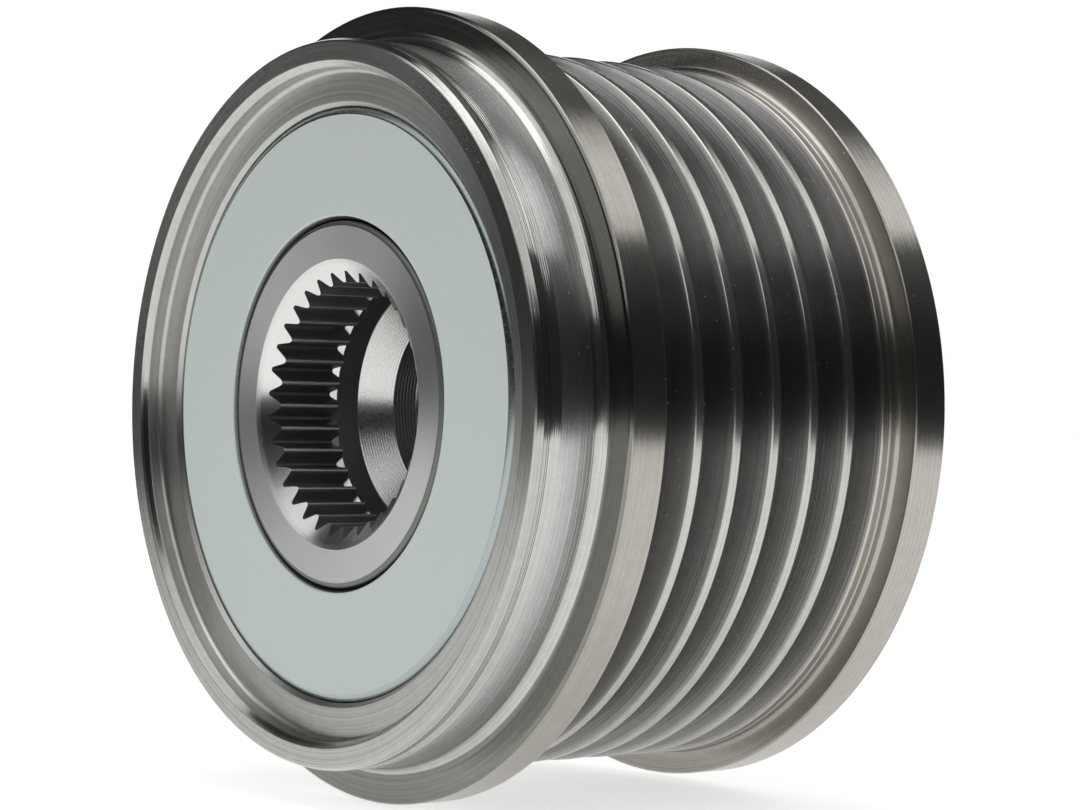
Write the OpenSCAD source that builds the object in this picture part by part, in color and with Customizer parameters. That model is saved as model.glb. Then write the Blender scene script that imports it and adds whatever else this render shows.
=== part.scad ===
// Alternator freewheel clutch: a poly-V belt pulley that drives its hub one way and overruns the other way.
// Lengths are measured forward from the hub's rear seat, and radii from the common axis.

/* [Belt track] */
// Number of V grooves
groove_count = 6; // [4:1:8]
// Distance between grooves
groove_pitch = 3.56; // [3.2:0.02:4]
// Angle between the two flanks of a groove
groove_angle = 40; // [36:1:44]
// Radius of the rib tips
tip_r = 27; // [26.6:0.1:30]
// Flat width of a rib tip
tip_flat = 0.75; // [0.5:0.05:0.9]
// Radius of the round at a groove's bottom
groove_bottom_r = 0.5; // [0.35:0.05:0.6]
// Radius of the rounds at a rib tip
tip_round_r = 0.25; // [0.15:0.05:0.3]

/* [Flanges] */
// How far the front flange stands out above the mean of the ribs and the neck
front_flange_rise = 2.58; // [1.6:0.02:4]
// Width of the front flange's rim
front_flange_w = 3.01; // [2:0.01:5]
// Width of the bevel round the front flange's front edge
front_bevel_w = 0.5; // [0.3:0.05:1]
// Height of that bevel
front_bevel_h = 0.3; // [0.15:0.05:0.6]
// Width of the slope from the first groove up to the front flange
front_flare_w = 1.9; // [1.2:0.1:3]
// How far the rear flange stands out above the ribs
rear_flange_rise = 1.8; // [1:0.1:4]
// Width of the rear flange
rear_flange_w = 3.1; // [2:0.1:5]
// Width of the plain land between the rear flange and the last groove
rear_land_w = 1.58; // [1.2:0.02:3]
// Width of the last rib's tip, in front of the fine groove in that land
last_tip_w = 0.62; // [0.5:0.02:0.8]
// Width of the fine groove
fine_groove_w = 0.2; // [0.15:0.05:0.4]
// Radius of the round between the land and the rear flange
rear_fillet_r = 0.4; // [0.2:0.05:0.6]
// Bevel on the flange edges
edge_bevel = 0.25; // [0.1:0.05:0.4]

/* [Nose] */
// Wall of the nose round the recess
nose_wall = 2.1; // [1.5:0.05:3]
// Radius of the round between the neck and the front flange
neck_fillet_r = 1; // [0.5:0.05:1.4]
// Length of the plain neck
neck_w = 2.68; // [1.5:0.02:5]
// Width of the shallow groove between the neck and the nose band
nose_groove_w = 1.4; // [0.8:0.05:2]
// Depth of that groove
nose_groove_depth = 0.1; // [0.05:0.01:0.3]
// Width of the turned band at the front edge
nose_band_w = 0.62; // [0.4:0.02:1.2]
// How far that band tapers in towards the front edge
nose_taper = 0.17; // [0.05:0.01:0.4]
// Radius of the recess for the dust cap
recess_r = 24.5; // [23.5:0.1:25]
// Depth of that recess
recess_depth = 1.6; // [1.2:0.1:3]
// Bevel at the mouth of the recess
recess_bevel = 0.45; // [0.2:0.05:0.6]
// Radius of the round at the recess floor
recess_fillet_r = 0.35; // [0.15:0.05:0.5]
// Bevel at the edge of the cover's bore
bore_bevel = 0.3; // [0.1:0.05:0.5]

/* [Hub] */
// How far the hub's rear seat stands out behind the pulley
rear_standout = 1.9; // [0.8:0.1:4]
// How far the hub's front face lies behind the nose
hub_setback = 1.8; // [0.5:0.1:3]
// Radius of the hub
hub_r = 13.22; // [12.5:0.02:14]
// How far the rear collar stands out from the hub
collar_rise = 1.8; // [1:0.1:2.4]
// Radius of the pilot bore
pilot_r = 8.5; // [8:0.05:9]
// Length of the pilot bore
pilot_len = 8.5; // [4:0.5:12]
// Core radius of the shaft thread
thread_core_r = 7.19; // [6:0.01:7.8]
// Number of teeth of the tool spline
spline_teeth = 33; // [24:1:40]
// Radius at the spline's gullets
spline_root_r = 9.8; // [9.4:0.05:10.2]
// Radius at the spline's tooth crests
spline_crest_r = 8.9; // [8.4:0.05:9.1]
// Length of the spline
spline_len = 6.4; // [4:0.1:8]
// How far the relief behind the spline lies outside the tooth crests
relief_step = 0.3; // [0.15:0.05:0.45]
// Length of that relief
relief_len = 1.95; // [1.2:0.05:3.5]
// Width of the bevel at the spline's mouth
mouth_bevel = 0.85; // [0.4:0.05:1.2]

/* [Bearings] */
// Diameter of the needles
needle_d = 3; // [2.4:0.1:3.2]
// Number of needles in each bearing
needle_count = 12; // [10:1:12]
// Wall of the inner ring under the needles
inner_ring_t = 3.18; // [2.8:0.02:3.6]
// Wall of the outer race sleeve
sleeve_t = 1.55; // [1.2:0.05:1.7]
// Wall of the needle cages
cage_t = 2.3; // [1.9:0.05:2.35]
// Width of the end rims of the cages
cage_rim_w = 0.9; // [0.7:0.1:1.4]

/* [Clutch] */
// Number of clamping rollers
clutch_count = 10; // [7:1:10]
// Diameter of the clamping rollers
clutch_roller_d = 3; // [2.6:0.1:3.1]
// Width of the clutch between the two bearings
clutch_w = 9.4; // [7:0.1:12]
// Angle between a ramp and the outer race where a roller clamps
wedge_angle = 6.4; // [5.8:0.1:7]
// How far a roller moves back from the clamped place
roller_travel = 1.4; // [0.8:0.1:1.6]
// Half the width of a ramp
ramp_half_w = 4.6; // [4:0.1:4.9]
// Length of a leaf spring when its roller is fully back
spring_folded = 3.2; // [2.6:0.1:3.4]
// Thickness of the leaf springs
spring_t = 0.2; // [0.12:0.02:0.26]

/* [Cover and seals] */
// Sheet thickness of the front cover
cover_t = 0.8; // [0.6:0.05:1]
// Depth of the front cover's cup
cover_depth = 3.6; // [3.2:0.1:4.4]
// Outside radius of the cover's bend
cover_bend_r = 1.06; // [1.02:0.02:1.3]
// Radial gap between the cover's hole and the hub
cover_gap = 0.55; // [0.4:0.05:0.9]
// How far the cover's face lies behind the recess floor
cover_inset = 0.1; // [0:0.05:0.3]
// Depth of the rear seal's seat
seal_seat_depth = 4; // [3.4:0.1:5]
// Height of the shoulder that the outer race sleeve stands on
sleeve_shoulder = 1.2; // [0.9:0.05:1.4]
// Thickness of the rear seal's steel case
seal_case_t = 0.8; // [0.5:0.1:1.2]
// How far the rear seal lies inside its bore
seal_inset = 0.4; // [0.2:0.1:0.8]

/* [Clearances] */
// Running clearance between a roller and each of its races
running_gap = 0.02; // [0.01:0.005:0.05]
// Clearance between a roller and the sides of its pocket
pocket_gap = 0.12; // [0.08:0.01:0.2]
// Clearance where one piece is pressed on or bonded to another
press_gap = 0.01; // [0.005:0.005:0.02]
// Clearance between a seal lip and the hub
lip_gap = 0.05; // [0.03:0.01:0.1]
// Clearance of the clutch cage on the ramps that key it
key_gap = 0.05; // [0.03:0.01:0.1]
// Clearance of a leaf spring at both of its ends
spring_gap = 0.05; // [0.03:0.01:0.1]
// Clearance between turning rings along the axis
thrust_gap = 0.15; // [0.1:0.05:0.3]
// Free space at the ends of the cages
cage_end_gap = 0.4; // [0.3:0.05:0.6]

/* [Hidden] */
$fn = 96;
small_fn = 32;
// Overlap of a cutting shape beyond the face that it cuts
cut = 1;

// Places along the axis, from the rear to the front
rear_face = rear_standout;
rear_flange_front = rear_face + rear_flange_w;
groove_w = groove_pitch - tip_flat;
track_rear = rear_flange_front + rear_land_w;
track_front = track_rear + groove_count * groove_pitch - tip_flat;
front_flange_rear = track_front + front_flare_w;
front_flange_front = front_flange_rear + front_flange_w;
neck_front = front_flange_front + neck_fillet_r + neck_w;
nose_band = neck_front + nose_groove_w;
nose_front = nose_band + nose_band_w;
recess_floor = nose_front - recess_depth;
hub_front = nose_front - hub_setback;
cover_front = recess_floor - cover_inset;
cover_back = cover_front - cover_t;
sleeve_rear = rear_face + seal_seat_depth;
sleeve_front = cover_front - cover_depth;

// Radii of the pulley
neck_r = recess_r + nose_wall;
nose_r = neck_r - nose_taper;
front_flange_r = (tip_r + neck_r) / 2 + front_flange_rise;
rear_flange_r = tip_r + rear_flange_rise;

// Radii of the bearing, from the inside to the outside
ring_bore_r = hub_r + press_gap;
race_in_r = hub_r + inner_ring_t;
race_out_r = race_in_r + needle_d + 2 * running_gap;
pitch_r = (race_in_r + race_out_r) / 2;
sleeve_r = race_out_r + sleeve_t;
main_bore_r = sleeve_r + press_gap;
cover_bore_r = main_bore_r + cover_t;
seal_bore_r = main_bore_r - sleeve_shoulder;
collar_r = hub_r + collar_rise;

// Inner ring, cages and needles along the axis
thrust_boss = 0.35;
rear_thrust_front = sleeve_rear + thrust_boss;
front_thrust_rear = sleeve_front - 2 * thrust_boss;
ring_rear = rear_thrust_front + thrust_gap;
ring_front = front_thrust_rear - thrust_gap;
clutch_rear = (ring_rear + ring_front - clutch_w) / 2;
clutch_front = clutch_rear + clutch_w;
rear_cage_rear = rear_thrust_front + cage_end_gap;
front_cage_rear = clutch_front + cage_end_gap;
rear_cage_w = clutch_rear - cage_end_gap - rear_cage_rear;
front_cage_w = front_thrust_rear - cage_end_gap - front_cage_rear;
cage_in_r = pitch_r - cage_t / 2;
cage_out_r = pitch_r + cage_t / 2;

// Clamping ramps: each roller rests between a flat and the outer race
clutch_r = clutch_roller_d / 2;
clutch_centre_r = race_out_r - clutch_r - running_gap;
ramp_h = clutch_centre_r * cos(wedge_angle) - clutch_r - running_gap;
roller_h = ramp_h + clutch_r + running_gap;
roller_t = clutch_centre_r * sin(wedge_angle);
ramp_corner_r = norm([ramp_h, ramp_half_w]);
pocket_angle = 360 / clutch_count;
clutch_roller_len = clutch_w - 2 * (cage_rim_w + pocket_gap);
window_front_t = roller_t + clutch_r + 2 * pocket_gap;
window_back_t = roller_t - clutch_r - roller_travel - spring_folded;

// Folded leaf spring: place of each fold across the window
spring_folds = 3;
spring_back_t = window_back_t + spring_gap + spring_t / 2;
spring_front_t = roller_t - clutch_r - spring_gap - spring_t / 2;
spring_low = roller_h - clutch_r / 2;
spring_high = roller_h + clutch_r / 2;
spring_w = clutch_roller_len - 2;

// Hub bores along the axis
spline_rear = hub_front - spline_len;
relief_rear = spline_rear - relief_len;
gullet_floor_share = 0.16;
tooth_crest_share = 0.24;
gullet_in_r = spline_crest_r - (spline_root_r - spline_crest_r) / 3;
gullet_run = 0.15;
gullet_end_angle = 45;
relief_r = spline_crest_r + relief_step;
lead_angle = 90;
cone_len = (relief_r - thread_core_r) / tan(lead_angle / 2);
thread_front = relief_rear - cone_len;
mouth_angle = 35;
pilot_bevel = 0.4;
hub_bevel = 0.3;

steel = "lightslategray";
bright_steel = "silver";
plated = "lightsteelblue";
rubber = "dimgray";
nylon = "tan";
spring_steel = "slategray";

function numbered(name, count) = [for (i = [1:count]) str(name, "_", i)];

// Lays the axis along Y with the front towards -Y
module on_axis() { rotate([90, 0, 0]) children(); }

// A ring turned from an outline of [radius, place along the axis] points
module turned() { on_axis() rotate_extrude() children(); }

// A plain ring's section
module section(in_r, out_r, rear, front) {
    translate([in_r, rear]) square([out_r - in_r, front - rear]);
}

// A round in the corner of two faces, on the side of +X and +Y
module fillet(r) {
    difference() {
        translate([-cut, -cut]) square(r + cut);
        translate([r, r]) circle(r, $fn = small_fn);
    }
}

// What the round takes off a rib tip's corner, in front of a groove
module tip_corner() {
    half = groove_angle / 2;
    along = tip_round_r / tan(45 + half / 2);
    flank = [tip_r - along * cos(half), groove_w / 2 - along * sin(half)];
    difference() {
        polygon([
            flank, [tip_r, groove_w / 2 + along],
            [tip_r + cut, groove_w / 2 + along], [tip_r + cut, flank[1]]
        ]);
        translate([tip_r - tip_round_r, groove_w / 2 + along]) circle(tip_round_r, $fn = small_fn);
    }
}

// One V groove, cut down from above the rib tips, with a round bottom. The foremost has no rib tip in front of it
module groove(centre, foremost) {
    half = groove_angle / 2;
    apex_r = tip_r - groove_w / 2 / tan(half);
    round_r = apex_r + groove_bottom_r / sin(half);
    tangent_r = round_r - groove_bottom_r * sin(half);
    tangent_w = (tangent_r - apex_r) * tan(half);
    translate([0, centre]) {
        polygon([
            [tangent_r, -tangent_w], [tip_r, -groove_w / 2], [tip_r + cut, -groove_w / 2],
            [tip_r + cut, groove_w / 2], [tip_r, groove_w / 2], [tangent_r, tangent_w]
        ]);
        translate([round_r, 0]) circle(groove_bottom_r, $fn = small_fn);
        mirror([0, 1]) tip_corner();
        if (!foremost) tip_corner();
    }
}

// Outside of the pulley before its grooves are cut, closed along the bores
module rim_outline() {
    fine_groove = track_rear - last_tip_w;
    fine_groove_r = tip_r - fine_groove_w / 2;
    polygon([
        [seal_bore_r + edge_bevel, rear_face],
        [rear_flange_r - edge_bevel, rear_face],
        [rear_flange_r, rear_face + edge_bevel],
        [rear_flange_r, rear_flange_front - edge_bevel],
        [rear_flange_r - edge_bevel, rear_flange_front],
        [tip_r, rear_flange_front],
        [tip_r, fine_groove - fine_groove_w],
        [fine_groove_r, fine_groove - fine_groove_w / 2],
        [tip_r, fine_groove],
        [tip_r, track_front],
        [front_flange_r - edge_bevel, front_flange_rear - edge_bevel],
        [front_flange_r, front_flange_rear],
        [front_flange_r, front_flange_front - front_bevel_w],
        [front_flange_r - front_bevel_h, front_flange_front],
        [neck_r, front_flange_front],
        [neck_r, neck_front],
        [neck_r - nose_groove_depth, (neck_front + nose_band) / 2],
        [neck_r, nose_band],
        [nose_r, nose_front - edge_bevel / 2],
        [nose_r - edge_bevel / 2, nose_front],
        [recess_r + recess_bevel, nose_front],
        [recess_r, nose_front - recess_bevel],
        [recess_r, recess_floor],
        [cover_bore_r + bore_bevel, recess_floor],
        [cover_bore_r, recess_floor - bore_bevel],
        [cover_bore_r, sleeve_front],
        [main_bore_r, sleeve_front],
        [main_bore_r, sleeve_rear],
        [seal_bore_r, sleeve_rear],
        [seal_bore_r, rear_face + edge_bevel]
    ]);
}

module pulley_rim() {
    color(steel) turned() difference() {
        union() {
            rim_outline();
            translate([tip_r, rear_flange_front]) fillet(rear_fillet_r);
            translate([neck_r, front_flange_front]) fillet(neck_fillet_r);
            translate([recess_r, recess_floor]) mirror([1, 0]) fillet(recess_fillet_r);
        }
        for (i = [1:groove_count])
            groove(track_rear + groove_w / 2 + (i - 1) * groove_pitch, i == groove_count);
    }
}

module outer_race_sleeve() {
    color(bright_steel) turned() section(race_out_r, sleeve_r, sleeve_rear, sleeve_front);
}

// Pressed cup: a flat disc, a bend and a skirt that stands on the pulley's shoulder
module front_cover() {
    out_r = cover_bore_r - press_gap;
    bend_in_r = cover_bend_r - cover_t;
    bend_centre = [out_r - cover_bend_r, cover_front - cover_bend_r];
    color(plated) turned() {
        section(hub_r + cover_gap, bend_centre[0], cover_back, cover_front);
        section(out_r - cover_t, out_r, sleeve_front, bend_centre[1]);
        translate(bend_centre) intersection() {
            square(cover_bend_r);
            difference() {
                circle(cover_bend_r, $fn = small_fn);
                circle(bend_in_r, $fn = small_fn);
            }
        }
    }
}

// Rubber ring behind the cover, with a lip that runs on the hub
module front_seal() {
    lip_r = hub_r + lip_gap;
    out_r = cover_bore_r - cover_t - 2 * press_gap;
    flange_rear = sleeve_front + cover_t + press_gap;
    front = cover_back - press_gap;
    web = front - (front - flange_rear) / 3;
    color(rubber) turned() polygon([
        [out_r - cover_bend_r, front], [hub_r + 2 * cover_gap, front], [lip_r, web - cover_t],
        [lip_r + lip_gap, web - cover_t - cover_gap], [hub_r + 3 * cover_gap, web],
        [race_out_r - cover_t, web], [race_out_r, flange_rear], [out_r, flange_rear],
        [out_r, front - cover_bend_r]
    ]);
}

// Plastic ring between the sleeve and the front seal: it runs on the inner ring's front face
module front_thrust_ring() {
    in_r = hub_r + cover_gap;
    color(nylon) turned() {
        section(in_r, cover_bore_r - cover_t - 2 * press_gap, sleeve_front, sleeve_front + cover_t);
        section(in_r, race_out_r - cage_end_gap, front_thrust_rear, sleeve_front);
    }
}

// Plastic ring between the sleeve and the rear seal: it runs on the inner ring's rear face
module rear_thrust_ring() {
    in_r = collar_r + cover_gap;
    seal_front = sleeve_rear - seal_case_t + press_gap;
    color(nylon) turned() {
        section(in_r, seal_bore_r - press_gap, seal_front, sleeve_rear);
        section(in_r, race_out_r - cage_end_gap, sleeve_rear, rear_thrust_front);
    }
}

seal_case_in_r = (seal_bore_r + 2 * collar_r) / 3;
seal_case_front = sleeve_rear - seal_case_t;

// Steel case of the rear seal: a skirt in the pulley's rear bore and a web
module rear_seal_case() {
    out_r = seal_bore_r - press_gap;
    rear = rear_face + seal_inset;
    color(bright_steel) turned() {
        section(out_r - seal_case_t, out_r, rear, seal_case_front);
        section(seal_case_in_r, out_r, seal_case_front - seal_case_t, seal_case_front);
    }
}

// Rubber of the rear seal: bonded over the web's edge, with a lip that runs on the collar
module rear_seal_lip() {
    lip_r = collar_r + lip_gap;
    web_rear = seal_case_front - seal_case_t - press_gap;
    rear = rear_face + seal_inset;
    pad_r = seal_bore_r - 2 * press_gap - 2 * seal_case_t;
    color(rubber) turned() polygon([
        [seal_case_in_r - press_gap, seal_case_front], [seal_case_in_r - press_gap, web_rear],
        [pad_r, web_rear], [pad_r, web_rear - seal_case_t / 2],
        [lip_r + seal_case_t, web_rear - seal_case_t / 2], [lip_r + lip_gap, rear],
        [lip_r, rear + seal_case_t / 4], [lip_r + seal_case_t / 2, seal_case_front]
    ]);
}

// Half the angle that a gullet opens at a radius: its flanks are straight
function gullet_half(r) = 180 / spline_teeth * (
    gullet_floor_share
    + (1 - tooth_crest_share - gullet_floor_share) * (spline_root_r - r) / (spline_root_r - spline_crest_r)
);

// Opening of the tool spline: one gullet for each tooth, cut from inside the bore
function spline_points() = [
    for (i = [0:spline_teeth - 1], corner = [[gullet_in_r, -1], [spline_root_r, -1],
                                             [spline_root_r, 1], [gullet_in_r, 1]])
        let (turn = i * 360 / spline_teeth + corner[1] * gullet_half(corner[0]))
            corner[0] * [cos(turn), sin(turn)]
];

module hub_outline() {
    mouth_r = spline_root_r + mouth_bevel;
    polygon([
        [pilot_r + pilot_bevel, 0],
        [collar_r - hub_bevel, 0],
        [collar_r, hub_bevel],
        [collar_r, ring_rear - press_gap],
        [hub_r, ring_rear - press_gap],
        [hub_r, hub_front - hub_bevel],
        [hub_r - hub_bevel, hub_front],
        [mouth_r, hub_front],
        [spline_crest_r, hub_front - (mouth_r - spline_crest_r) * tan(mouth_angle)],
        [spline_crest_r, spline_rear],
        [relief_r, spline_rear],
        [relief_r, relief_rear],
        [thread_core_r, thread_front],
        [thread_core_r, pilot_len],
        [pilot_r, pilot_len],
        [pilot_r, pilot_bevel]
    ]);
}

// Room of the gullets: they run out on a cone, a little behind the teeth
module gullet_room() {
    out_r = spline_root_r + cut;
    relief_end = spline_rear - gullet_run;
    rotate_extrude() polygon([
        [0, relief_end - relief_r / tan(gullet_end_angle)],
        [out_r, relief_end + (out_r - relief_r) / tan(gullet_end_angle)],
        [out_r, hub_front + cut],
        [0, hub_front + cut]
    ]);
}

module shaft_hub() {
    color(bright_steel) difference() {
        turned() hub_outline();
        on_axis() intersection() {
            translate([0, 0, relief_rear - relief_r])
                linear_extrude(hub_front - relief_rear + relief_r + cut) polygon(spline_points());
            gullet_room();
        }
    }
}

// Ramps: a regular polygon of flats, with its corners turned down to a circle, all of it moved out by a gap
module ramp_section(gap) {
    corner_r = (ramp_h + gap) / cos(pocket_angle / 2);
    corner_angles = [for (i = [1:clutch_count]) (i - 0.5) * pocket_angle];
    intersection() {
        polygon([for (turn = corner_angles) corner_r * [cos(turn), sin(turn)]]);
        circle(ramp_corner_r + gap);
    }
}

module clutch_inner_ring() {
    color(bright_steel) on_axis() difference() {
        union() {
            translate([0, 0, ring_rear]) cylinder(h = clutch_rear - ring_rear, r = race_in_r);
            translate([0, 0, clutch_rear]) linear_extrude(clutch_w) ramp_section(0);
            translate([0, 0, clutch_front]) cylinder(h = ring_front - clutch_front, r = race_in_r);
        }
        translate([0, 0, ring_rear - cut]) cylinder(h = ring_front - ring_rear + 2 * cut, r = ring_bore_r);
    }
}

// Puts something in pocket number i: x points out along the flat's normal, y towards the clamped place
module in_pocket(i) {
    on_axis() rotate((i - 1) * pocket_angle) mirror([0, 1, 0]) translate([0, 0, clutch_rear]) children();
}

// Plastic cage: keyed on the ramp flats, with a window for each roller and its spring
module clutch_cage() {
    window_len = clutch_roller_len + 2 * pocket_gap;
    color(nylon) difference() {
        on_axis() translate([0, 0, clutch_rear]) linear_extrude(clutch_w) difference() {
            circle(cage_out_r);
            ramp_section(key_gap);
        }
        for (i = [1:clutch_count]) in_pocket(i)
            translate([ramp_h - cut, window_back_t, cage_rim_w])
                cube([race_out_r - ramp_h + cut, window_front_t - window_back_t, window_len]);
    }
}

module clutch_roller(i) {
    color(bright_steel) in_pocket(i) translate([roller_h, roller_t, cage_rim_w + pocket_gap])
        cylinder(h = clutch_roller_len, r = clutch_r);
}

// Folds of a leaf spring, from the cage's bar to the pad behind the roller
function spring_points() = concat(
    [[spring_low, spring_back_t]],
    [for (k = [0:spring_folds]) [
        k % 2 == 0 ? spring_high : spring_low,
        spring_back_t + (spring_front_t - spring_back_t) * k / spring_folds
    ]],
    [[spring_high, spring_front_t]]
);

module clutch_spring(i) {
    points = spring_points();
    color(spring_steel) in_pocket(i) translate([0, 0, (clutch_w - spring_w) / 2])
        linear_extrude(spring_w) {
            for (k = [0:len(points) - 2]) {
                step = points[k + 1] - points[k];
                translate(points[k]) rotate(atan2(step[1], step[0])) translate([0, -spring_t / 2])
                    square([norm(step), spring_t]);
            }
            for (p = points) translate(p) circle(d = spring_t, $fn = small_fn);
        }
}

// Plastic ring with a pocket for every needle
module needle_cage(rear, width) {
    pocket_w = needle_d + 2 * pocket_gap;
    color(nylon) on_axis() translate([0, 0, rear]) difference() {
        cylinder(h = width, r = cage_out_r);
        translate([0, 0, -cut]) cylinder(h = width + 2 * cut, r = cage_in_r);
        for (i = [1:needle_count]) rotate((i - 1) * 360 / needle_count)
            translate([cage_in_r - cut, -pocket_w / 2, cage_rim_w])
                cube([cage_t + 2 * cut, pocket_w, width - 2 * cage_rim_w]);
    }
}

module needle(i, rear, width) {
    length = width - 2 * (cage_rim_w + pocket_gap);
    color(bright_steel) on_axis() rotate((i - 1) * 360 / needle_count)
        translate([pitch_r, 0, rear + cage_rim_w + pocket_gap]) cylinder(h = length, d = needle_d);
}

module front_needle_cage() { needle_cage(front_cage_rear, front_cage_w); }
module rear_needle_cage() { needle_cage(rear_cage_rear, rear_cage_w); }
module front_needle(i) { needle(i, front_cage_rear, front_cage_w); }
module rear_needle(i) { needle(i, rear_cage_rear, rear_cage_w); }

pulley_rim();
outer_race_sleeve();
front_cover();
front_seal();
front_thrust_ring();
rear_thrust_ring();
rear_seal_case();
rear_seal_lip();
shaft_hub();
clutch_inner_ring();
clutch_cage();
front_needle_cage();
rear_needle_cage();
for (i = [1:needle_count]) {
    front_needle(i);
    rear_needle(i);
}
for (i = [1:clutch_count]) {
    clutch_roller(i);
    clutch_spring(i);
}
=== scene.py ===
"""Overrunning alternator pulley: its turned, pressed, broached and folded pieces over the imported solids."""

import math

import bpy
from mathutils import Matrix, Vector


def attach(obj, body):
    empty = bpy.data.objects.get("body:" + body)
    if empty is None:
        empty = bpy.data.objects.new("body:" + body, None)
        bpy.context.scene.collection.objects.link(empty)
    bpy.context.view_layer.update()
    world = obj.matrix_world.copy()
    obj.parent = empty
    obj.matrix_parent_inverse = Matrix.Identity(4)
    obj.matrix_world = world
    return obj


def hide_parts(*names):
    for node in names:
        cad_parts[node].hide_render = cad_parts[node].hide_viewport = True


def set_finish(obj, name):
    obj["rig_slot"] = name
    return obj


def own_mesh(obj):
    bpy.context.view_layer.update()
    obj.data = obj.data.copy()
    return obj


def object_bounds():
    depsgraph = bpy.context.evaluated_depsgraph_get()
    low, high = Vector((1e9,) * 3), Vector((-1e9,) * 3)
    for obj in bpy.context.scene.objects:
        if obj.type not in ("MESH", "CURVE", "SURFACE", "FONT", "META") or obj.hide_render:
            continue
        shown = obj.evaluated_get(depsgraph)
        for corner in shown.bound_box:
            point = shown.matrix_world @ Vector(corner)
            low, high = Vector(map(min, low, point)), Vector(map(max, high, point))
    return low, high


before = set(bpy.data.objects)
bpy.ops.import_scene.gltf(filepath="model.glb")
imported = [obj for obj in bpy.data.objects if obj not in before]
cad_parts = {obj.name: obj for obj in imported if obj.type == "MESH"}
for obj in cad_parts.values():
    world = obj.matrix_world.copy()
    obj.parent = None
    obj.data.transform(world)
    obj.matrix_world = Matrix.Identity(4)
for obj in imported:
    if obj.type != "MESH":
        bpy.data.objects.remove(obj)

cad_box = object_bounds()

MM = 0.001
FULL_TURN = 2 * math.pi
QUARTER_TURN = math.radians(90)
# points closer than this are one point
WELD = 2e-6
# a rounded corner gets one facet for each of these angles
ARC_STEP = math.radians(11)
# a straight run keeps a point this close to each end, so that it shades flat
HOLD_MM = 0.04
# sharper edges than these stay sharp: the cusps between feed marks, and the edges of the other pieces
TURNED_SMOOTH = math.radians(15)
EDGE_SMOOTH = math.radians(28)
# the round tip of the turning tool, and the hollow that it leaves, as shares of the feed and of the depth
TOOL_TIP_MM = 0.4
HOLLOW = ((0, 0), (0.25, 0.75), (0.5, 1), (0.75, 0.75))
# facets round the axis
PULLEY_FACETS = 180
COVER_FACETS = 192
BEAD_FACETS = 128
FACETS_PER_TOOTH = 6
THREAD_FACETS = 64

# from the hub's rear seat to the front of the nose, and to the front of the hub
PULLEY_LEN_MM = 37.8
HUB_LEN_MM = 36.0

# the belt track
GROOVES = 6
GROOVE_PITCH_MM = 3.56
FIRST_GROOVE_MM = 7.985
GROOVE_HALF_MM = 1.405
GROOVE_HALF_ANGLE = math.radians(20)
GROOVE_ROUND_MM = 0.5
TIP_R_MM = 27.0
RIB_REAR_ROUND_MM = 0.3
RIB_FRONT_ROUND_MM = 0.14

# the tool spline, with its relief behind it
TEETH = 33
CREST_R_MM = 9.0
ROOT_R_MM = 9.8
SPLINE_REAR_MM = 29.6
RELIEF_R_MM = 9.42
BROACH_FRONT_MM = 37.0
BROACH_LEN_MM = 10.0

# the shaft's pilot bore and its thread, M16 x 1.5
PILOT_R_MM = 8.5
PILOT_LEN_MM = 8.5
THREAD_R_MM = 8.0
CORE_R_MM = 7.19
LEAD_R_MM = CORE_R_MM + 0.04
THREAD_PITCH_MM = 1.5
THREAD_TURNS = 9
THREAD_START_MM = PILOT_LEN_MM + THREAD_PITCH_MM / 2
# half the width of the ridge at its foot, which is sunk in the hub, and at its crest
FOOT_HALF_MM = 0.7
FOOT_SINK_MM = 0.05
RIDGE_HALF_MM = 0.14

# the clutch's leaf springs: their places along the ramp and their strip
SPRINGS = 10
SPRING_BACK_MM, SPRING_FRONT_MM = -3.9525, 0.3475
SPRING_LOW_MM, SPRING_HIGH_MM = 17.058, 18.558
SPRING_REAR_MM, SPRING_W_MM = 16.345, 5.36
SPRING_SHEET_MM = 0.2


def at(radius, forward, angle=0.0):
    """A point of the pulley, given in millimetres from its axis and forward of its rear seat."""
    return Vector((radius * math.cos(angle), -forward, radius * math.sin(angle))) * MM


def feed_marks(points, zones):
    """Cuts tool hollows into the runs of an outline that lie in (inner, outer, rear, front, feed) zones."""
    cut = []
    for here, there in zip(points, points[1:] + points[:1]):
        cut.append(here)
        middle, run = (here + there) / 2, there - here
        for inner, outer, rear, front, feed in zones:
            if run.length > feed / 2 and inner < middle[0] < outer and rear < middle[1] < front:
                hollows = max(1, round(run.length / feed))
                step = run / hollows
                # a round tip cuts as deep as the squared step over eight times its radius
                inwards = Vector((-step[1], step[0])) * step.length / (8 * TOOL_TIP_MM)
                cut += [here + step * (number + share) + inwards * deep
                        for number in range(hollows) for share, deep in HOLLOW if number + share]
    return cut


def rounded(outline, zones=()):
    """Rounds the corners of an outline of (radius, forward, corner radius) rows, and cuts its feed marks."""
    points = []
    for index, (radius, forward, size) in enumerate(outline):
        corner = Vector((radius, forward))
        if not size:
            points.append(corner)
            continue
        back = (Vector(outline[index - 1][:2]) - corner).normalized()
        onward = (Vector(outline[(index + 1) % len(outline)][:2]) - corner).normalized()
        half = back.angle(onward) / 2
        centre = corner + (back + onward).normalized() * size / math.sin(half)
        start = corner + back * size / math.tan(half) - centre
        end = corner + onward * size / math.tan(half) - centre
        facets = max(2, math.ceil((math.pi - 2 * half) / ARC_STEP))
        points += [centre + start.slerp(end, step / facets).normalized() * size for step in range(facets + 1)]
    points = feed_marks(points, zones)
    held = []
    for here, there in zip(points, points[1:] + points[:1]):
        held.append(here)
        run = there - here
        if run.length > 5 * HOLD_MM:
            held += [here + run.normalized() * HOLD_MM, there - run.normalized() * HOLD_MM]
    return held


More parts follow.
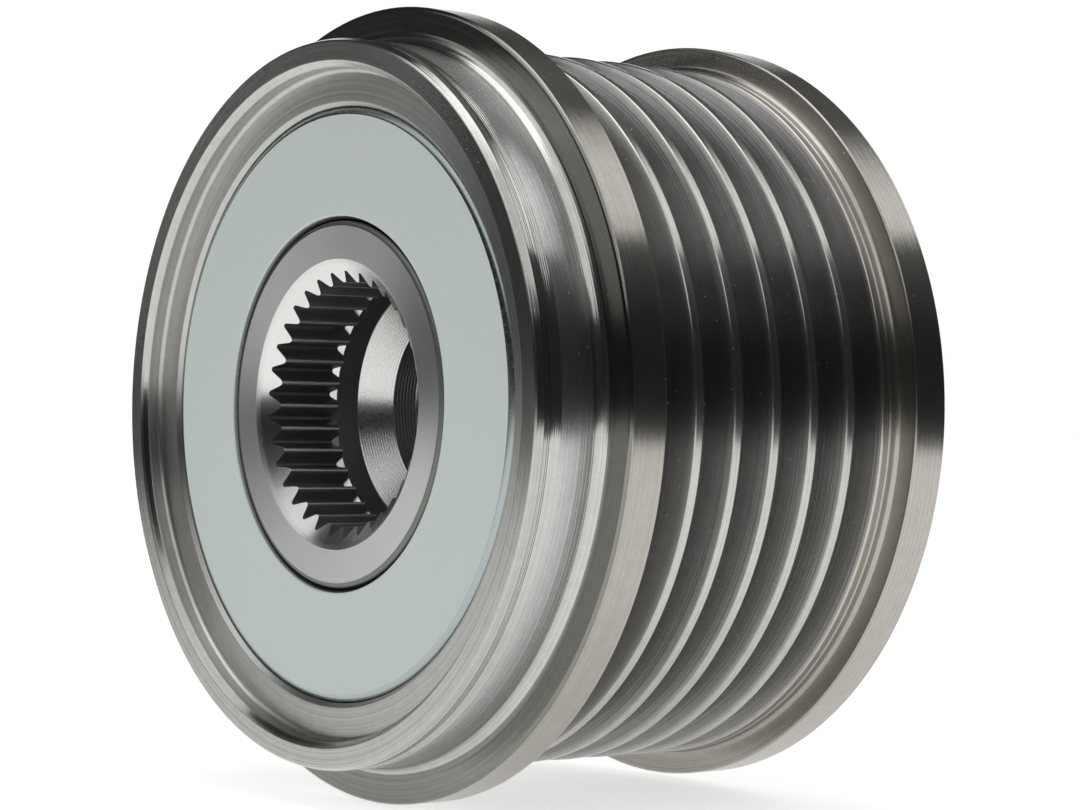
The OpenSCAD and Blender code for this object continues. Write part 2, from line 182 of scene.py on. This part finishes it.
def folded_strip(line, thickness):
    """The closed outline of a strip folded along its middle line, with round folds and deburred ends."""
    runs = [(there - here).normalized() for here, there in zip(line, line[1:])]
    left, right = [], []
    for point, before, after in zip(line, runs[:1] + runs, runs + runs[-1:]):
        turn = before.x * after.y - before.y * after.x
        mitre = Vector((-before.y - after.y, before.x + after.x)) / (1 + before.dot(after)) * thickness / 2
        for rows, side in ((left, 1), (right, -1)):
            # corner radius as a share of the thickness: at an end, outside a fold, inside a fold
            share = 0.4 if not turn else 1.1 if turn * side < 0 else 0.1
            rows.append((*(point + mitre * side), share * thickness))
    return left + right[::-1]


def pick(piece):
    """Selects one piece alone and makes it the active one."""
    bpy.ops.object.select_all(action="DESELECT")
    bpy.context.view_layer.objects.active = piece
    piece.select_set(True)


def draw_outline(name, points):
    """Draws a closed outline from one point, by extruding the point round it, and leaves it in edit mode."""
    bpy.ops.object.select_all(action="DESELECT")
    bpy.ops.mesh.primitive_plane_add(size=MM, location=points[0])
    bpy.context.object.name = name
    bpy.ops.object.mode_set(mode="EDIT")
    bpy.ops.mesh.merge(type="CENTER")
    for here, there in zip(points, points[1:] + points[:1]):
        bpy.ops.mesh.extrude_vertices_move(TRANSFORM_OT_translate={"value": there - here})
    bpy.ops.mesh.select_all(action="SELECT")
    bpy.ops.mesh.remove_doubles(threshold=WELD)


def fill_and_extrude(rearward):
    """Fills the outline that is being drawn, and extrudes it along the axis by so many millimetres."""
    bpy.ops.mesh.edge_face_add()
    bpy.ops.mesh.extrude_region_move(TRANSFORM_OT_translate={"value": (0, rearward * MM, 0)})


def close_piece():
    """Merges the doubles, turns all faces outwards, and puts the piece's place into its mesh."""
    bpy.ops.object.mode_set(mode="EDIT")
    bpy.ops.mesh.select_all(action="SELECT")
    bpy.ops.mesh.remove_doubles(threshold=WELD)
    bpy.ops.mesh.normals_make_consistent(inside=False)
    bpy.ops.object.mode_set(mode="OBJECT")
    bpy.ops.object.transform_apply(location=True, rotation=True, scale=True)
    return bpy.context.object


def turned(name, outline, facets, zones=()):
    """Turns a closed outline round the pulley's axis."""
    draw_outline(name, [at(*point) for point in rounded(outline, zones)])
    bpy.ops.mesh.spin(steps=facets, angle=FULL_TURN, center=(0, 0, 0), axis=(0, 1, 0))
    piece = close_piece()
    bpy.ops.object.shade_smooth_by_angle(angle=TURNED_SMOOTH)
    return piece


# the grooves of the belt track come to a point below their rounded floors
groove_point_r = TIP_R_MM - GROOVE_HALF_MM / math.tan(GROOVE_HALF_ANGLE)
belt_track = [(TIP_R_MM, FIRST_GROOVE_MM - GROOVE_HALF_MM, RIB_FRONT_ROUND_MM)]
for number in range(GROOVES):
    centre = FIRST_GROOVE_MM + number * GROOVE_PITCH_MM
    belt_track.append((groove_point_r, centre, GROOVE_ROUND_MM))
    belt_track.append((TIP_R_MM, centre + GROOVE_HALF_MM, RIB_REAR_ROUND_MM))
    if number < GROOVES - 1:
        belt_track.append((TIP_R_MM, centre + GROOVE_PITCH_MM - GROOVE_HALF_MM, RIB_FRONT_ROUND_MM))

pulley = turned("pulley_turned", [
    # rear flange, with a scored line at the foot of its front face
    (20.05, 1.9, 0.05), (28.55, 1.9, 0.07), (28.8, 2.15, 0.07), (28.8, 5.0, 0.16),
    (27.0, 5.0, 0.4), (27.0, 5.76, 0.03), (26.9, 5.86, 0.02), (27.0, 5.96, 0.03),
    *belt_track,
    # front flange
    (29.13, 28.84, 0.1), (29.38, 29.09, 0.07), (29.38, 32.1, 0.32),
    # neck, shallow groove and nose
    (26.6, 32.1, 1.0), (26.6, 35.78, 0.12), (26.5, 36.48, 0.2), (26.6, 37.18, 0.05),
    (26.43, 37.675, 0.05), (26.305, PULLEY_LEN_MM, 0.05), (24.95, PULLEY_LEN_MM, 0.04),
    # cap recess and cover seat
    (24.5, 37.35, 0.06), (24.5, 36.2, 0.35), (22.1, 36.2, 0.06), (21.8, 35.9, 0.06), (21.8, 32.5, 0.05),
    # bore for the outer race, shoulder and seal seat
    (21.0, 32.5, 0), (21.0, 5.9, 0), (19.8, 5.9, 0.05), (19.8, 2.15, 0.05),
], PULLEY_FACETS, [
    # the band on the nose, the shallow groove behind it and the round behind the neck
    (26.3, 26.62, 37.17, 37.68, 0.105), (26.4, 26.62, 35.8, 37.17, 0.16), (26.5, 27.65, 32.05, 33.15, 0.16),
])
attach(pulley, "pulley")
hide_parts("pulley_rim")
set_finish(pulley, "turned_steel")

# the cover: a pressed cup with a rolled-over punched hole
cover = turned("cover_pressed", [
    (21.79, 32.5, 0.1), (21.79, 36.1, 0.6), (13.77, 36.1, 0.14), (13.77, 35.3, 0.05),
    (20.99, 35.3, 0.26), (20.99, 32.5, 0.1),
], COVER_FACETS)
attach(cover, "pulley")
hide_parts("front_cover")
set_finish(cover, "zinc_plate")

# the front seal's rim, which lines the cover's hole from behind
bead = turned("seal_bead", [
    (13.6, 35.3, 0.03), (13.76, 35.3, 0.03), (13.76, 35.75, 0.03), (13.68, 35.8, 0.04), (13.6, 35.7, 0.03),
], BEAD_FACETS)
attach(bead, "pulley")
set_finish(bead, "seal_rubber")

# the hub: turned all over, then its gullets are broached out of the bore
hub = turned("hub_splined", [
    # rear seat and outside, with a rounded lip in the cover's hole
    (8.9, 0.0, 0.05), (14.72, 0.0, 0.06), (15.02, 0.3, 0.06), (15.02, 6.39, 0), (13.22, 6.39, 0),
    (13.22, 35.35, 0.03), (13.5, 35.45, 0.03), (13.5, HUB_LEN_MM, 0.42),
    # mouth, spline bore, relief and drill cone
    (10.65, HUB_LEN_MM, 0.06), (CREST_R_MM, 34.845, 0.08), (CREST_R_MM, SPLINE_REAR_MM, 0),
    (RELIEF_R_MM, SPLINE_REAR_MM, 0), (9.2, 27.65, 0.08), (LEAD_R_MM, 25.68, 0.05), (LEAD_R_MM, 23.6, 0.05),
    # thread bore and pilot bore
    (THREAD_R_MM, 22.82, 0), (THREAD_R_MM, PILOT_LEN_MM, 0),
    (PILOT_R_MM, PILOT_LEN_MM, 0), (PILOT_R_MM, 0.4, 0.05),
], TEETH * FACETS_PER_TOOTH, [
    # the drill cone, the bore in front of the thread and the front face
    (7.2, 9.2, 25.7, 27.6, 0.2), (7.2, 7.25, 23.7, 25.6, 0.3), (10.7, 12.9, 35.98, 36.02, 0.12),
])

# half a gullet, from the open bore to its root: radius and share of half the tooth pitch;
# the flanks curve over the crest
half_pitch = math.pi / TEETH
flank = [(8.7, 0.96), (8.985, 0.955), (9.02, 0.868), (9.077, 0.755),
         (9.155, 0.679), (9.45, 0.43), (9.74, 0.2), (ROOT_R_MM, 0.09)]
loop = [at(radius, BROACH_FRONT_MM, share * half_pitch) for radius, share in flank]
loop += [at(radius, BROACH_FRONT_MM, -share * half_pitch) for radius, share in reversed(flank)]
draw_outline("gullets", loop)
fill_and_extrude(BROACH_LEN_MM)
bpy.ops.mesh.select_all(action="SELECT")
# the broach runs out on a slope behind the teeth
bpy.ops.mesh.bisect(plane_co=at(RELIEF_R_MM, 29.5), plane_no=(1, 1, 0), clear_outer=True, use_fill=True)
bpy.ops.mesh.select_all(action="SELECT")
bpy.ops.mesh.normals_make_consistent(inside=False)
bpy.ops.mesh.spin(steps=TEETH - 1, angle=FULL_TURN * (TEETH - 1) / TEETH,
                  center=(0, 0, 0), axis=(0, 1, 0), dupli=True)
gullets = close_piece()

pick(hub)
broach = hub.modifiers.new("broach", "BOOLEAN")
broach.object = gullets
broach.operation = "DIFFERENCE"
broach.solver = "EXACT"
bpy.ops.object.modifier_apply(modifier="broach")
bpy.data.objects.remove(gullets)
bpy.ops.object.shade_smooth_by_angle(angle=EDGE_SMOOTH)
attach(hub, "hub")
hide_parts("shaft_hub")
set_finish(hub, "hub_steel")

# the thread: one right-hand ridge that winds round the bore
draw_outline("hub_thread", [
    at(THREAD_R_MM + FOOT_SINK_MM, THREAD_START_MM - FOOT_HALF_MM),
    at(CORE_R_MM, THREAD_START_MM - RIDGE_HALF_MM),
    at(CORE_R_MM, THREAD_START_MM + RIDGE_HALF_MM),
    at(THREAD_R_MM + FOOT_SINK_MM, THREAD_START_MM + FOOT_HALF_MM),
])
bpy.ops.object.mode_set(mode="OBJECT")
bpy.ops.object.transform_apply(location=True, rotation=True, scale=True)
thread = bpy.context.object
winding = thread.modifiers.new("winding", "SCREW")
winding.axis = "Y"
winding.angle = -FULL_TURN
winding.screw_offset = -THREAD_PITCH_MM * MM
winding.iterations = THREAD_TURNS
winding.steps = winding.render_steps = THREAD_FACETS
bpy.ops.object.modifier_apply(modifier="winding")
# its two ends are closed
bpy.ops.object.mode_set(mode="EDIT")
bpy.ops.mesh.select_all(action="DESELECT")
bpy.ops.mesh.select_non_manifold()
bpy.ops.mesh.fill_holes(sides=0)
close_piece()
bpy.ops.object.shade_smooth_by_angle(angle=EDGE_SMOOTH)
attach(thread, "hub")
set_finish(thread, "hub_steel")

# the leaf springs: each stands between a bar of the clutch cage and its roller, drawn in one folded shape;
# in use it folds up as the roller slides back
strip = [Vector((height, SPRING_BACK_MM + share * (SPRING_FRONT_MM - SPRING_BACK_MM)))
         for height, share in ((SPRING_LOW_MM, 0), (SPRING_HIGH_MM, 0), (SPRING_LOW_MM, 1 / 3),
                               (SPRING_HIGH_MM, 2 / 3), (SPRING_LOW_MM, 1), (SPRING_HIGH_MM, 1))]
draw_outline("leaf_spring_1", [Vector((height, -SPRING_REAR_MM, -along)) * MM
                               for height, along in rounded(folded_strip(strip, SPRING_SHEET_MM))])
fill_and_extrude(-SPRING_W_MM)
springs = [close_piece()]
bpy.ops.object.shade_smooth_by_angle(angle=EDGE_SMOOTH)
for number in range(1, SPRINGS):
    pick(springs[0])
    bpy.ops.object.duplicate()
    springs.append(bpy.context.object)
    springs[-1].name = f"leaf_spring_{number + 1}"
    springs[-1].rotation_euler.y = -FULL_TURN * number / SPRINGS
    bpy.ops.object.transform_apply(location=True, rotation=True, scale=True)
for number, spring in enumerate(springs):
    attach(spring, "hub")
    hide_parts(f"clutch_spring_{number + 1}")
    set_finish(spring, "spring_steel")
    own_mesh(spring)


def linear(hex_colour):
    """An sRGB hex colour as the linear colour that the shaders take."""
    parts = [int(hex_colour[i:i + 2], 16) / 255 for i in (1, 3, 5)]
    return (*[p / 12.92 if p <= 0.04045 else ((p + 0.055) / 1.055) ** 2.4 for p in parts], 1.0)


def add(tree, kind, sockets=None, **settings):
    """Adds a node with its settings, and sets or links its sockets."""
    node = tree.nodes.new(kind)
    for name, value in settings.items():
        setattr(node, name, value)
    for name, value in (sockets or {}).items():
        if isinstance(value, bpy.types.NodeSocket):
            tree.links.new(value, node.inputs[name])
        else:
            node.inputs[name].default_value = value
    return node


def finish_of(name, **sockets):
    """A new material with its shader's plain sockets set."""
    material = bpy.data.materials.new(name)
    material.use_nodes = True
    shader = material.node_tree.nodes["Principled BSDF"]
    for socket, value in sockets.items():
        shader.inputs[socket.replace("_", " ")].default_value = value
    return material, material.node_tree, shader


# the pulley's lengths by their front ends, each with its tint: nose edge, band, shallow groove, neck, round,
# flange face, flange rim, belt track, rear flange; then those with a roughness of their own
TINTS = ((37.8, "#B9B8B4"), (37.66, "#B3B3AE"), (37.18, "#BCBCB8"), (35.78, "#C1C3C2"), (33.1, "#BEBEB9"),
         (32.3, "#82827C"), (31.95, "#ABA7A1"), (29.09, "#BEBDB9"), (6.5, "#B1ADA7"))
ROUGHS = ((37.8, 0.26), (37.66, 0.16), (35.78, 0.27), (33.1, 0.18), (31.95, 0.24), (29.09, 0.25))


def lathe_run(tree, shader):
    """Draws the shine out across the feed marks; gives how far a lathe tool has gone in all, along the axis
    and outwards, and the plain coordinates."""
    grain = add(tree, "ShaderNodeTangent", direction_type="RADIAL", axis="Y")
    tree.links.new(grain.outputs["Tangent"], shader.inputs["Tangent"])
    spot = add(tree, "ShaderNodeTexCoord").outputs["Object"]
    across = add(tree, "ShaderNodeVectorMath", {0: spot, 1: (1, 0, 1)}, operation="MULTIPLY").outputs[0]
    out = add(tree, "ShaderNodeVectorMath", {0: across}, operation="LENGTH").outputs["Value"]
    along = add(tree, "ShaderNodeSeparateXYZ", {0: spot}).outputs["Y"]
    return add(tree, "ShaderNodeMath", {0: out, 1: along}, operation="ADD").outputs[0], along, out, spot


def turned_steel():
    """Case-hardened steel off the lathe: bright, drawn out across the fine feed marks, nearly neutral."""
    material, tree, shader = finish_of("turned_steel", Metallic=1.0, Anisotropic=0.8,
                                       Anisotropic_Rotation=0.25)
    run, along, out, spot = lathe_run(tree, shader)
    # how each length was finished, from the nose's front edge to the rear face: its tint and its roughness
    place = add(tree, "ShaderNodeMapRange", {"Value": along, "From Min": -PULLEY_LEN_MM * MM,
                                             "From Max": 0.0})
    tints, roughs = [add(tree, "ShaderNodeValToRGB", {"Fac": place.outputs["Result"]}) for _ in range(2)]
    for ramp, edges in ((tints.color_ramp, TINTS), (roughs.color_ramp, ROUGHS)):
        ramp.interpolation = "CONSTANT"
        for number, (front, value) in enumerate(edges):
            stop = ramp.elements[0] if not number else ramp.elements.new(1 - front / PULLEY_LEN_MM)
            stop.color = linear(value) if isinstance(value, str) else (value, value, value, 1)
        ramp.elements.remove(ramp.elements[-1])
    # painted shade: the groove flanks are tinted darker grey towards the groove floors, and the rib tips keep
    # their plain tint
    deep = add(tree, "ShaderNodeMapRange", {"Value": out, "From Min": 26.6 * MM, "From Max": 26.92 * MM,
                                            "To Min": 1.0, "To Max": 0.0})
    track = add(tree, "ShaderNodeMath", {0: along, 1: -17.7 * MM, 2: 11.2 * MM}, operation="COMPARE")
    groove_shade = add(tree, "ShaderNodeMath", {0: deep.outputs["Result"], 1: track.outputs[0]}, operation="MULTIPLY")
    steel = add(tree, "ShaderNodeMix", {"Factor": groove_shade.outputs[0], "A": tints.outputs["Color"],
                                        "B": linear("#979694")}, data_type="RGBA")
    # feed marks about 0.15 mm apart darken and lighten the tint in rings;
    # handling leaves a mottle about 1 mm across
    rings = add(tree, "ShaderNodeTexNoise", {"W": run, "Scale": 1 / (0.15 * MM), "Detail": 3.0,
                                             "Roughness": 0.7}, noise_dimensions="1D").outputs["Fac"]
    mottle = add(tree, "ShaderNodeTexNoise", {"Vector": spot, "Scale": 1 / (1 * MM), "Detail": 6.0,
                                              "Roughness": 0.7})
    wear = add(tree, "ShaderNodeMath", {0: mottle.outputs["Fac"], 1: 0.5, 2: rings}, operation="MULTIPLY_ADD")
    shade = add(tree, "ShaderNodeMapRange", {"Value": wear.outputs[0], "From Min": 0.5, "From Max": 1.0,
                                             "To Min": 0.84, "To Max": 1.16})
    tint = add(tree, "ShaderNodeMix", {"Factor": 1.0, "A": steel.outputs["Result"],
                                       "B": shade.outputs["Result"]}, data_type="RGBA", blend_type="MULTIPLY")
    tree.links.new(tint.outputs["Result"], shader.inputs["Base Color"])
    # dust and burr specks about 0.1 mm across scatter the light
    specks = add(tree, "ShaderNodeTexNoise", {"Vector": spot, "Scale": 1 / (0.25 * MM), "Detail": 1.0})
    dull = add(tree, "ShaderNodeMapRange", {"Value": specks.outputs["Fac"], "From Min": 0.79,
                                            "From Max": 0.83, "To Max": 0.4})
    # inside the nose the tool has left a coarser face
    inside = add(tree, "ShaderNodeMapRange", {"Value": out, "From Min": 24.4 * MM, "From Max": 24.6 * MM,
                                              "To Min": 0.2, "To Max": 0.0})
    base = add(tree, "ShaderNodeMath", {0: roughs.outputs["Color"], 1: inside.outputs["Result"]},
               operation="ADD")
    rough = add(tree, "ShaderNodeMath", {0: base.outputs[0], 1: dull.outputs["Result"]}, operation="ADD")
    tree.links.new(rough.outputs[0], shader.inputs["Roughness"])
    # torn metal between the feed marks, uneven at 0.4 mm
    tear = add(tree, "ShaderNodeTexNoise", {"W": run, "Scale": 1 / (0.4 * MM), "Detail": 3.0,
                                            "Roughness": 0.7}, noise_dimensions="1D").outputs["Fac"]
    bump = add(tree, "ShaderNodeBump", {"Height": tear, "Strength": 1.0, "Distance": 0.02 * MM})
    tree.links.new(bump.outputs["Normal"], shader.inputs["Normal"])
    return material


def hub_steel():
    """Turned and tumbled steel: satin, with the feed marks nearly gone."""
    material, tree, shader = finish_of("hub_steel", Metallic=1.0, Anisotropic=0.8, Anisotropic_Rotation=0.25)
    run, along, _, spot = lathe_run(tree, shader)
    marks = add(tree, "ShaderNodeTexNoise", {"W": run, "Scale": 1 / (0.2 * MM), "Detail": 2.0,
                                             "Roughness": 0.6}, noise_dimensions="1D").outputs["Fac"]
    # tumbling leaves a fine peening about 0.2 mm across
    peening = add(tree, "ShaderNodeTexNoise", {"Vector": spot, "Scale": 1 / (0.2 * MM), "Detail": 3.0,
                                               "Roughness": 0.6}).outputs["Fac"]
    tint = add(tree, "ShaderNodeMix", {"Factor": peening, "A": linear("#CFD0CE"), "B": linear("#DCDDDA")},
               data_type="RGBA")
    tree.links.new(tint.outputs["Result"], shader.inputs["Base Color"])
    # the tumbling has dulled the front face more than the bore
    front = add(tree, "ShaderNodeMapRange", {"Value": along, "From Min": -35.95 * MM, "From Max": -35.7 * MM,
                                             "To Min": 0.3, "To Max": 0.17})
    # behind the spline the bore is a little rougher again
    behind = add(tree, "ShaderNodeMapRange", {"Value": along, "From Min": -30 * MM, "From Max": -29 * MM,
                                              "To Max": 0.05})
    base = add(tree, "ShaderNodeMath", {0: front.outputs["Result"], 1: behind.outputs["Result"]},
               operation="ADD")
    rough = add(tree, "ShaderNodeMath", {0: peening, 1: 0.12, 2: base.outputs[0]}, operation="MULTIPLY_ADD")
    tree.links.new(rough.outputs[0], shader.inputs["Roughness"])
    fine = add(tree, "ShaderNodeBump", {"Height": peening, "Strength": 0.12, "Distance": 0.01 * MM})
    bump = add(tree, "ShaderNodeBump", {"Height": marks, "Strength": 0.4, "Distance": 0.01 * MM,
                                        "Normal": fine.outputs["Normal"]})
    tree.links.new(bump.outputs["Normal"], shader.inputs["Normal"])
    return material


def speckled(name, dark, light, grain_mm, rough_low, rough_high, depth_mm, **sockets):
    """A finish with an even fine grain: two tints, a roughness that follows them, and a shallow relief."""
    material, tree, shader = finish_of(name, **sockets)
    spot = add(tree, "ShaderNodeTexCoord").outputs["Object"]
    grain = add(tree, "ShaderNodeTexNoise", {"Vector": spot, "Scale": 1 / (grain_mm * MM), "Detail": 4.0,
                                             "Roughness": 0.6}).outputs["Fac"]
    tint = add(tree, "ShaderNodeMix", {"Factor": grain, "A": linear(dark), "B": linear(light)},
               data_type="RGBA")
    tree.links.new(tint.outputs["Result"], shader.inputs["Base Color"])
    rough = add(tree, "ShaderNodeMapRange", {"Value": grain, "From Min": 0.3, "From Max": 0.7,
                                             "To Min": rough_low, "To Max": rough_high})
    tree.links.new(rough.outputs["Result"], shader.inputs["Roughness"])
    bump = add(tree, "ShaderNodeBump", {"Height": grain, "Strength": 0.4, "Distance": depth_mm * MM})
    tree.links.new(bump.outputs["Normal"], shader.inputs["Normal"])
    return material


finishes = {
    # hardening scale that the broached gullets and the relief keep: grey, dull
    "hardened_scale": speckled("hardened_scale", "#6E6F6B", "#848581", 0.15, 0.4, 0.5, 0.004, Metallic=1.0),
    "turned_steel": turned_steel(),
    "hub_steel": hub_steel(),
    # steel sheet, zinc plated and clear passivated: matt, a little blue, with a fine crystal grain
    "zinc_plate": speckled("zinc_plate", "#D3DDDB", "#E0E8E6", 0.12, 0.5, 0.6, 0.004, Metallic=0.35),
    # the same plate where the die has drawn it round the bend: burnished, and tinted darker as painted shade
    # from the crevice beside it
    "zinc_drawn_shaded": speckled("zinc_drawn_shaded", "#9AA3A4", "#AEB6B6", 0.3, 0.2, 0.28, 0.002, Metallic=1.0),
    # ground bearing steel: near mirror, with a faint haze
    "bearing_steel": speckled("bearing_steel", "#B5B3AF", "#C8C7C4", 0.3, 0.12, 0.2, 0.002, Metallic=1.0),
    # blued spring strip: darker than the rollers, rolled smooth
    "spring_steel": speckled("spring_steel", "#5F6468", "#7A7F82", 0.4, 0.25, 0.35, 0.002, Metallic=1.0),
    # moulded nitrile rubber: black, soft sheen, fine grain
    "seal_rubber": speckled("seal_rubber", "#121213", "#1D1D1E", 0.15, 0.5, 0.65, 0.01, IOR=1.52),
    # moulded glass-filled nylon: off black with pale fibre specks
    "cage_plastic": speckled("cage_plastic", "#23272B", "#34383C", 0.25, 0.4, 0.55, 0.008, IOR=1.53),
}
for piece in (pulley, cover, bead, hub, thread, *springs):
    piece.data.materials.clear()
    piece.data.materials.append(finishes[piece["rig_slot"]])


def dress(piece, finish, chosen):
    """Gives a second finish to the faces that are chosen by their radius, in millimetres, and normal."""
    piece.data.materials.append(finishes[finish])
    pick(piece)
    bpy.ops.object.mode_set(mode="EDIT")
    bpy.ops.mesh.select_mode(type="FACE")
    bpy.ops.mesh.select_all(action="DESELECT")
    bpy.ops.object.mode_set(mode="OBJECT")
    for face in piece.data.polygons:
        face.select = chosen(math.hypot(face.center.x, face.center.z) / MM, face.normal)
    bpy.ops.object.mode_set(mode="EDIT")
    piece.active_material_index = 1
    bpy.ops.object.material_slot_assign()
    bpy.ops.object.mode_set(mode="OBJECT")


# the gullets' flanks, the relief behind the teeth and the bore keep their scale; the outside and its rounded
# front edge get the same darker grey finish;
# the crests, the front and the cone are turned bright
dress(hub, "hardened_scale", lambda out, normal: (abs(normal.y) < 0.3 or out > 13.1 and normal.y < 0)
      and not CORE_R_MM + 0.9 < out < CREST_R_MM + 0.015)
# painted shade: the bend and the outer skirt take the darker burnished plate
dress(cover, "zinc_drawn_shaded", lambda out, normal: out > 21.2)

# the solids that are shown as they are; rollers, needles and races are bearing steel
node_finish = {
    "clutch_cage": "cage_plastic", "front_needle_cage": "cage_plastic", "rear_needle_cage": "cage_plastic",
    "front_thrust_ring": "cage_plastic", "rear_thrust_ring": "cage_plastic",
    "front_seal": "seal_rubber", "rear_seal_lip": "seal_rubber", "rear_seal_case": "zinc_plate",
}
for name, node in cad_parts.items():
    node.data.materials.clear()
    node.data.materials.append(finishes[node_finish.get(name, "bearing_steel")])

# the camera stands where the photograph was taken from
AZIMUTH, ELEVATION, ROLL = math.radians(52.16), math.radians(-0.85), math.radians(0.43)
FOCAL_PX, PHOTO_W_PX, SENSOR_W_MM = 2885, 1080, 36.0
# its place to the right, up and back from a point on the axis
SIDE_MM, RISE_MM, DISTANCE_MM = 5.59, 0.13, 218.4
AXIS_POINT_MM = Vector((0, -24, 0))
# where the lamps look
PULLEY_MIDDLE = Vector((0, -0.019, 0))
back = Vector((math.sin(AZIMUTH) * math.cos(ELEVATION), -math.cos(AZIMUTH) * math.cos(ELEVATION),
               math.sin(ELEVATION)))
level = Vector((math.cos(AZIMUTH), math.sin(AZIMUTH), 0))
upright = back.cross(level)
right = level * math.cos(ROLL) + upright * math.sin(ROLL)
up = upright * math.cos(ROLL) - level * math.sin(ROLL)
stand = (right * SIDE_MM + up * RISE_MM + back * DISTANCE_MM + AXIS_POINT_MM) * MM
bpy.ops.object.select_all(action="DESELECT")
bpy.ops.object.camera_add(location=stand, rotation=Matrix((right, up, back)).transposed().to_euler())
camera = bpy.context.object
camera.data.sensor_fit = "HORIZONTAL"
camera.data.sensor_width = SENSOR_W_MM
camera.data.lens = FOCAL_PX * SENSOR_W_MM / PHOTO_W_PX
camera.data.clip_start = 0.01
bpy.context.scene.camera = camera


def seen_directly(tree):
    """1 for what is seen, straight, mirrored or through something, and 0 for what only gives light."""
    path = add(tree, "ShaderNodeLightPath").outputs
    seen = add(tree, "ShaderNodeMath", {0: path["Is Camera Ray"], 1: path["Is Glossy Ray"]},
               operation="MAXIMUM")
    seen = add(tree, "ShaderNodeMath", {0: seen.outputs[0], 1: path["Is Transmission Ray"]},
               operation="MAXIMUM")
    return seen.outputs[0]


# a white table, which glows more far out, where the lamps no longer reach it
table_material, tree, shader = finish_of("table_white", Roughness=0.8, Base_Color=linear("#F2F2F0"),
                                         Emission_Color=(1, 1, 1, 1))
spot = add(tree, "ShaderNodeTexCoord").outputs["Object"]
far = add(tree, "ShaderNodeVectorMath", {0: spot}, operation="LENGTH")
share = add(tree, "ShaderNodeMapRange", {"Value": far.outputs["Value"], "From Min": 0.05, "From Max": 0.6,
                                         "To Min": 0.6, "To Max": 0.76})
glow = add(tree, "ShaderNodeMath", {0: seen_directly(tree), 1: share.outputs["Result"]}, operation="MULTIPLY")
tree.links.new(glow.outputs[0], shader.inputs["Emission Strength"])
bpy.ops.mesh.primitive_plane_add(size=6, location=(0, 0, cad_box[0].z))
table = bpy.context.object
table.name = "table"
table.data.materials.append(table_material)

wall_material = finish_of("wall_dark", Roughness=0.9, Base_Color=linear("#1E2120"))[0]
card_material = finish_of("card_dark", Roughness=0.9, Base_Color=linear("#454947"))[0]


def panel(name, material):
    """Names the panel that was just added, gives it its finish, and leaves it to reflections alone."""
    board = bpy.context.object
    board.name = name
    board.data.materials.append(material)
    board.visible_camera = board.visible_shadow = board.visible_diffuse = False
    return board


# a dark wall round the table, nearer on the right and behind: its foot is below the table,
# its top lower on the near side
near = Vector((0.79, 0.613, 0))
lean = Matrix.Rotation(math.radians(7.7), 4, near.cross(Vector((0, 0, 1)))).inverted().to_euler()
bpy.ops.mesh.primitive_cylinder_add(vertices=96, radius=0.6, depth=0.8, end_fill_type="NOTHING",
                                    location=near * -0.362 + Vector((0, 0, 0.23 - 0.4)), rotation=lean)
wall = panel("dark_wall", wall_material)
# cards on the near side, on the left, at the back and in front;
# a height given as a difference is the top less half the size
bpy.ops.mesh.primitive_plane_add(size=0.5, location=near * 0.2 + Vector((0, 0, 0.16 - 0.25)),
                                 rotation=(QUARTER_TURN, 0, -math.atan2(near.x, near.y)))
near_card = panel("near_card", wall_material)
bpy.ops.mesh.primitive_plane_add(size=2.4, location=(-0.55, 0.75, 0.0), rotation=(0, QUARTER_TURN, 0))
left_card = panel("left_card", card_material)
bpy.ops.mesh.primitive_plane_add(size=3.0, location=(0, 0.65, 0.5), rotation=(QUARTER_TURN, 0, 0))
back_card = panel("back_card", card_material)
bpy.ops.mesh.primitive_plane_add(size=1.0, location=(0.15, -0.45, 0.29 - 0.5), rotation=(QUARTER_TURN, 0, 0))
front_card = panel("front_card", wall_material)


def softbox(name, location, size, watts):
    """A square lamp that looks at the pulley's middle."""
    bpy.ops.object.light_add(type="AREA", location=location)
    lamp = bpy.context.object
    lamp.name = name
    lamp.rotation_euler = (PULLEY_MIDDLE - lamp.location).to_track_quat("-Z", "Y").to_euler()
    lamp.data.size = size
    lamp.data.energy = watts
    lamp.visible_camera = False
    return lamp


softbox("softbox_back", (0.204, 0.337, 0.392), 0.33, 0.43)
softbox("softbox_top", (-0.03, -0.06, 0.55), 0.4, 0.6)
softbox("softbox_left", (-0.36, 0.27, 0.125), 0.2, 0.17)
# a broad fill in front lights the matt plate and the rubber; the bright metal doesn't mirror it
softbox("fill_front", (-0.15, -0.6, 0.12), 0.5, 1.5).visible_glossy = False

# a white room, which gives less light than it shows
world = bpy.data.worlds.new("studio")
bpy.context.scene.world = world
world.use_nodes = True
tree = world.node_tree
tree.nodes.clear()
strength = add(tree, "ShaderNodeMapRange", {"Value": seen_directly(tree), "To Min": 0.32, "To Max": 1.0})
sky = add(tree, "ShaderNodeBackground", {"Color": (1, 1, 1, 1), "Strength": strength.outputs["Result"]})
add(tree, "ShaderNodeOutputWorld", {"Surface": sky.outputs["Background"]})

bpy.context.scene.view_settings.view_transform = "Standard"
